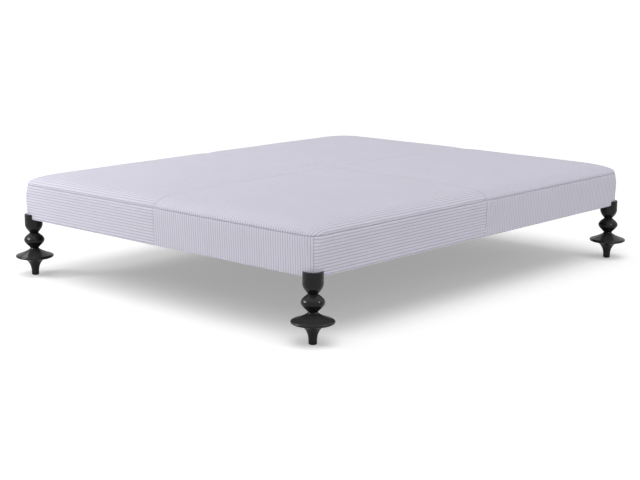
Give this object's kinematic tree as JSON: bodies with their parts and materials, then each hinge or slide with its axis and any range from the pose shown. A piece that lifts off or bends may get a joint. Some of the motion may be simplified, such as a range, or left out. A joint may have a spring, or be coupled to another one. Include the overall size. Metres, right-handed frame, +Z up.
{
  "type": "backless divan",
  "caption": "Low, deep upholstered platform with a softly crowned top, a striped cover pieced in quarters, and short turned legs that cup its corners.",
  "frame": {"origin": "on the floor, under the middle of the box", "axes": "+X to the right along a long side, +Y to the back, +Z up; the front is the long side towards -Y"},
  "size_m": [1.97, 1.614, 0.4075],
  "materials": {
    "stripe_cloth": "matte",
    "ebonised_wood": "satin",
    "frame_hardwood": "matte",
    "glide_nylon": "matte",
    "zinc_steel": "satin",
    "insert_brass": "satin",
    "blued_tack": "satin",
    "jute_webbing": "matte",
    "hessian": "matte",
    "edge_foam": "matte",
    "seat_foam": "matte",
    "crown_foam": "matte",
    "polyester_fibre": "matte",
    "side_felt": "matte",
    "seam_tape": "matte",
    "dust_cloth": "matte"
  },
  "bodies": {
    "root": {"leg_front_left": "ebonised_wood", "leg_front_right": "ebonised_wood", "leg_back_right": "ebonised_wood", "leg_back_left": "ebonised_wood", "glides": "glide_nylon", "hanger_bolts": "zinc_steel", "threaded_inserts": "insert_brass", "post_front_left": "frame_hardwood", "post_front_right": "frame_hardwood", "post_back_right": "frame_hardwood", "post_back_left": "frame_hardwood", "rail_front": "frame_hardwood", "rail_back": "frame_hardwood", "rail_left": "frame_hardwood", "rail_right": "frame_hardwood", "cross_rails": "frame_hardwood", "centre_spine": "frame_hardwood", "brace_front_left": "frame_hardwood", "brace_front_right": "frame_hardwood", "brace_back_right": "frame_hardwood", "brace_back_left": "frame_hardwood", "brace_screws": "zinc_steel", "webbing_long": "jute_webbing", "webbing_cross": "jute_webbing", "webbing_tacks": "blued_tack", "hessian": "hessian", "edge_foam_front": "edge_foam", "edge_foam_back": "edge_foam", "edge_foam_left": "edge_foam", "edge_foam_right": "edge_foam", "foam_slab": "seat_foam", "crown_pad": "crown_foam", "fibre_wrap": "polyester_fibre", "side_pad_front": "side_felt", "side_pad_back": "side_felt", "side_pad_left": "side_felt", "side_pad_right": "side_felt", "top_front_left": "stripe_cloth", "top_front_right": "stripe_cloth", "top_back_right": "stripe_cloth", "top_back_left": "stripe_cloth", "band_front_left": "stripe_cloth", "band_front_right": "stripe_cloth", "band_right_front": "stripe_cloth", "band_right_back": "stripe_cloth", "band_back_right": "stripe_cloth", "band_back_left": "stripe_cloth", "band_left_back": "stripe_cloth", "band_left_front": "stripe_cloth", "seam_tape": "seam_tape", "dust_cover": "dust_cloth", "dust_cover_tacks": "blued_tack"}
  },
  "joints": []
}
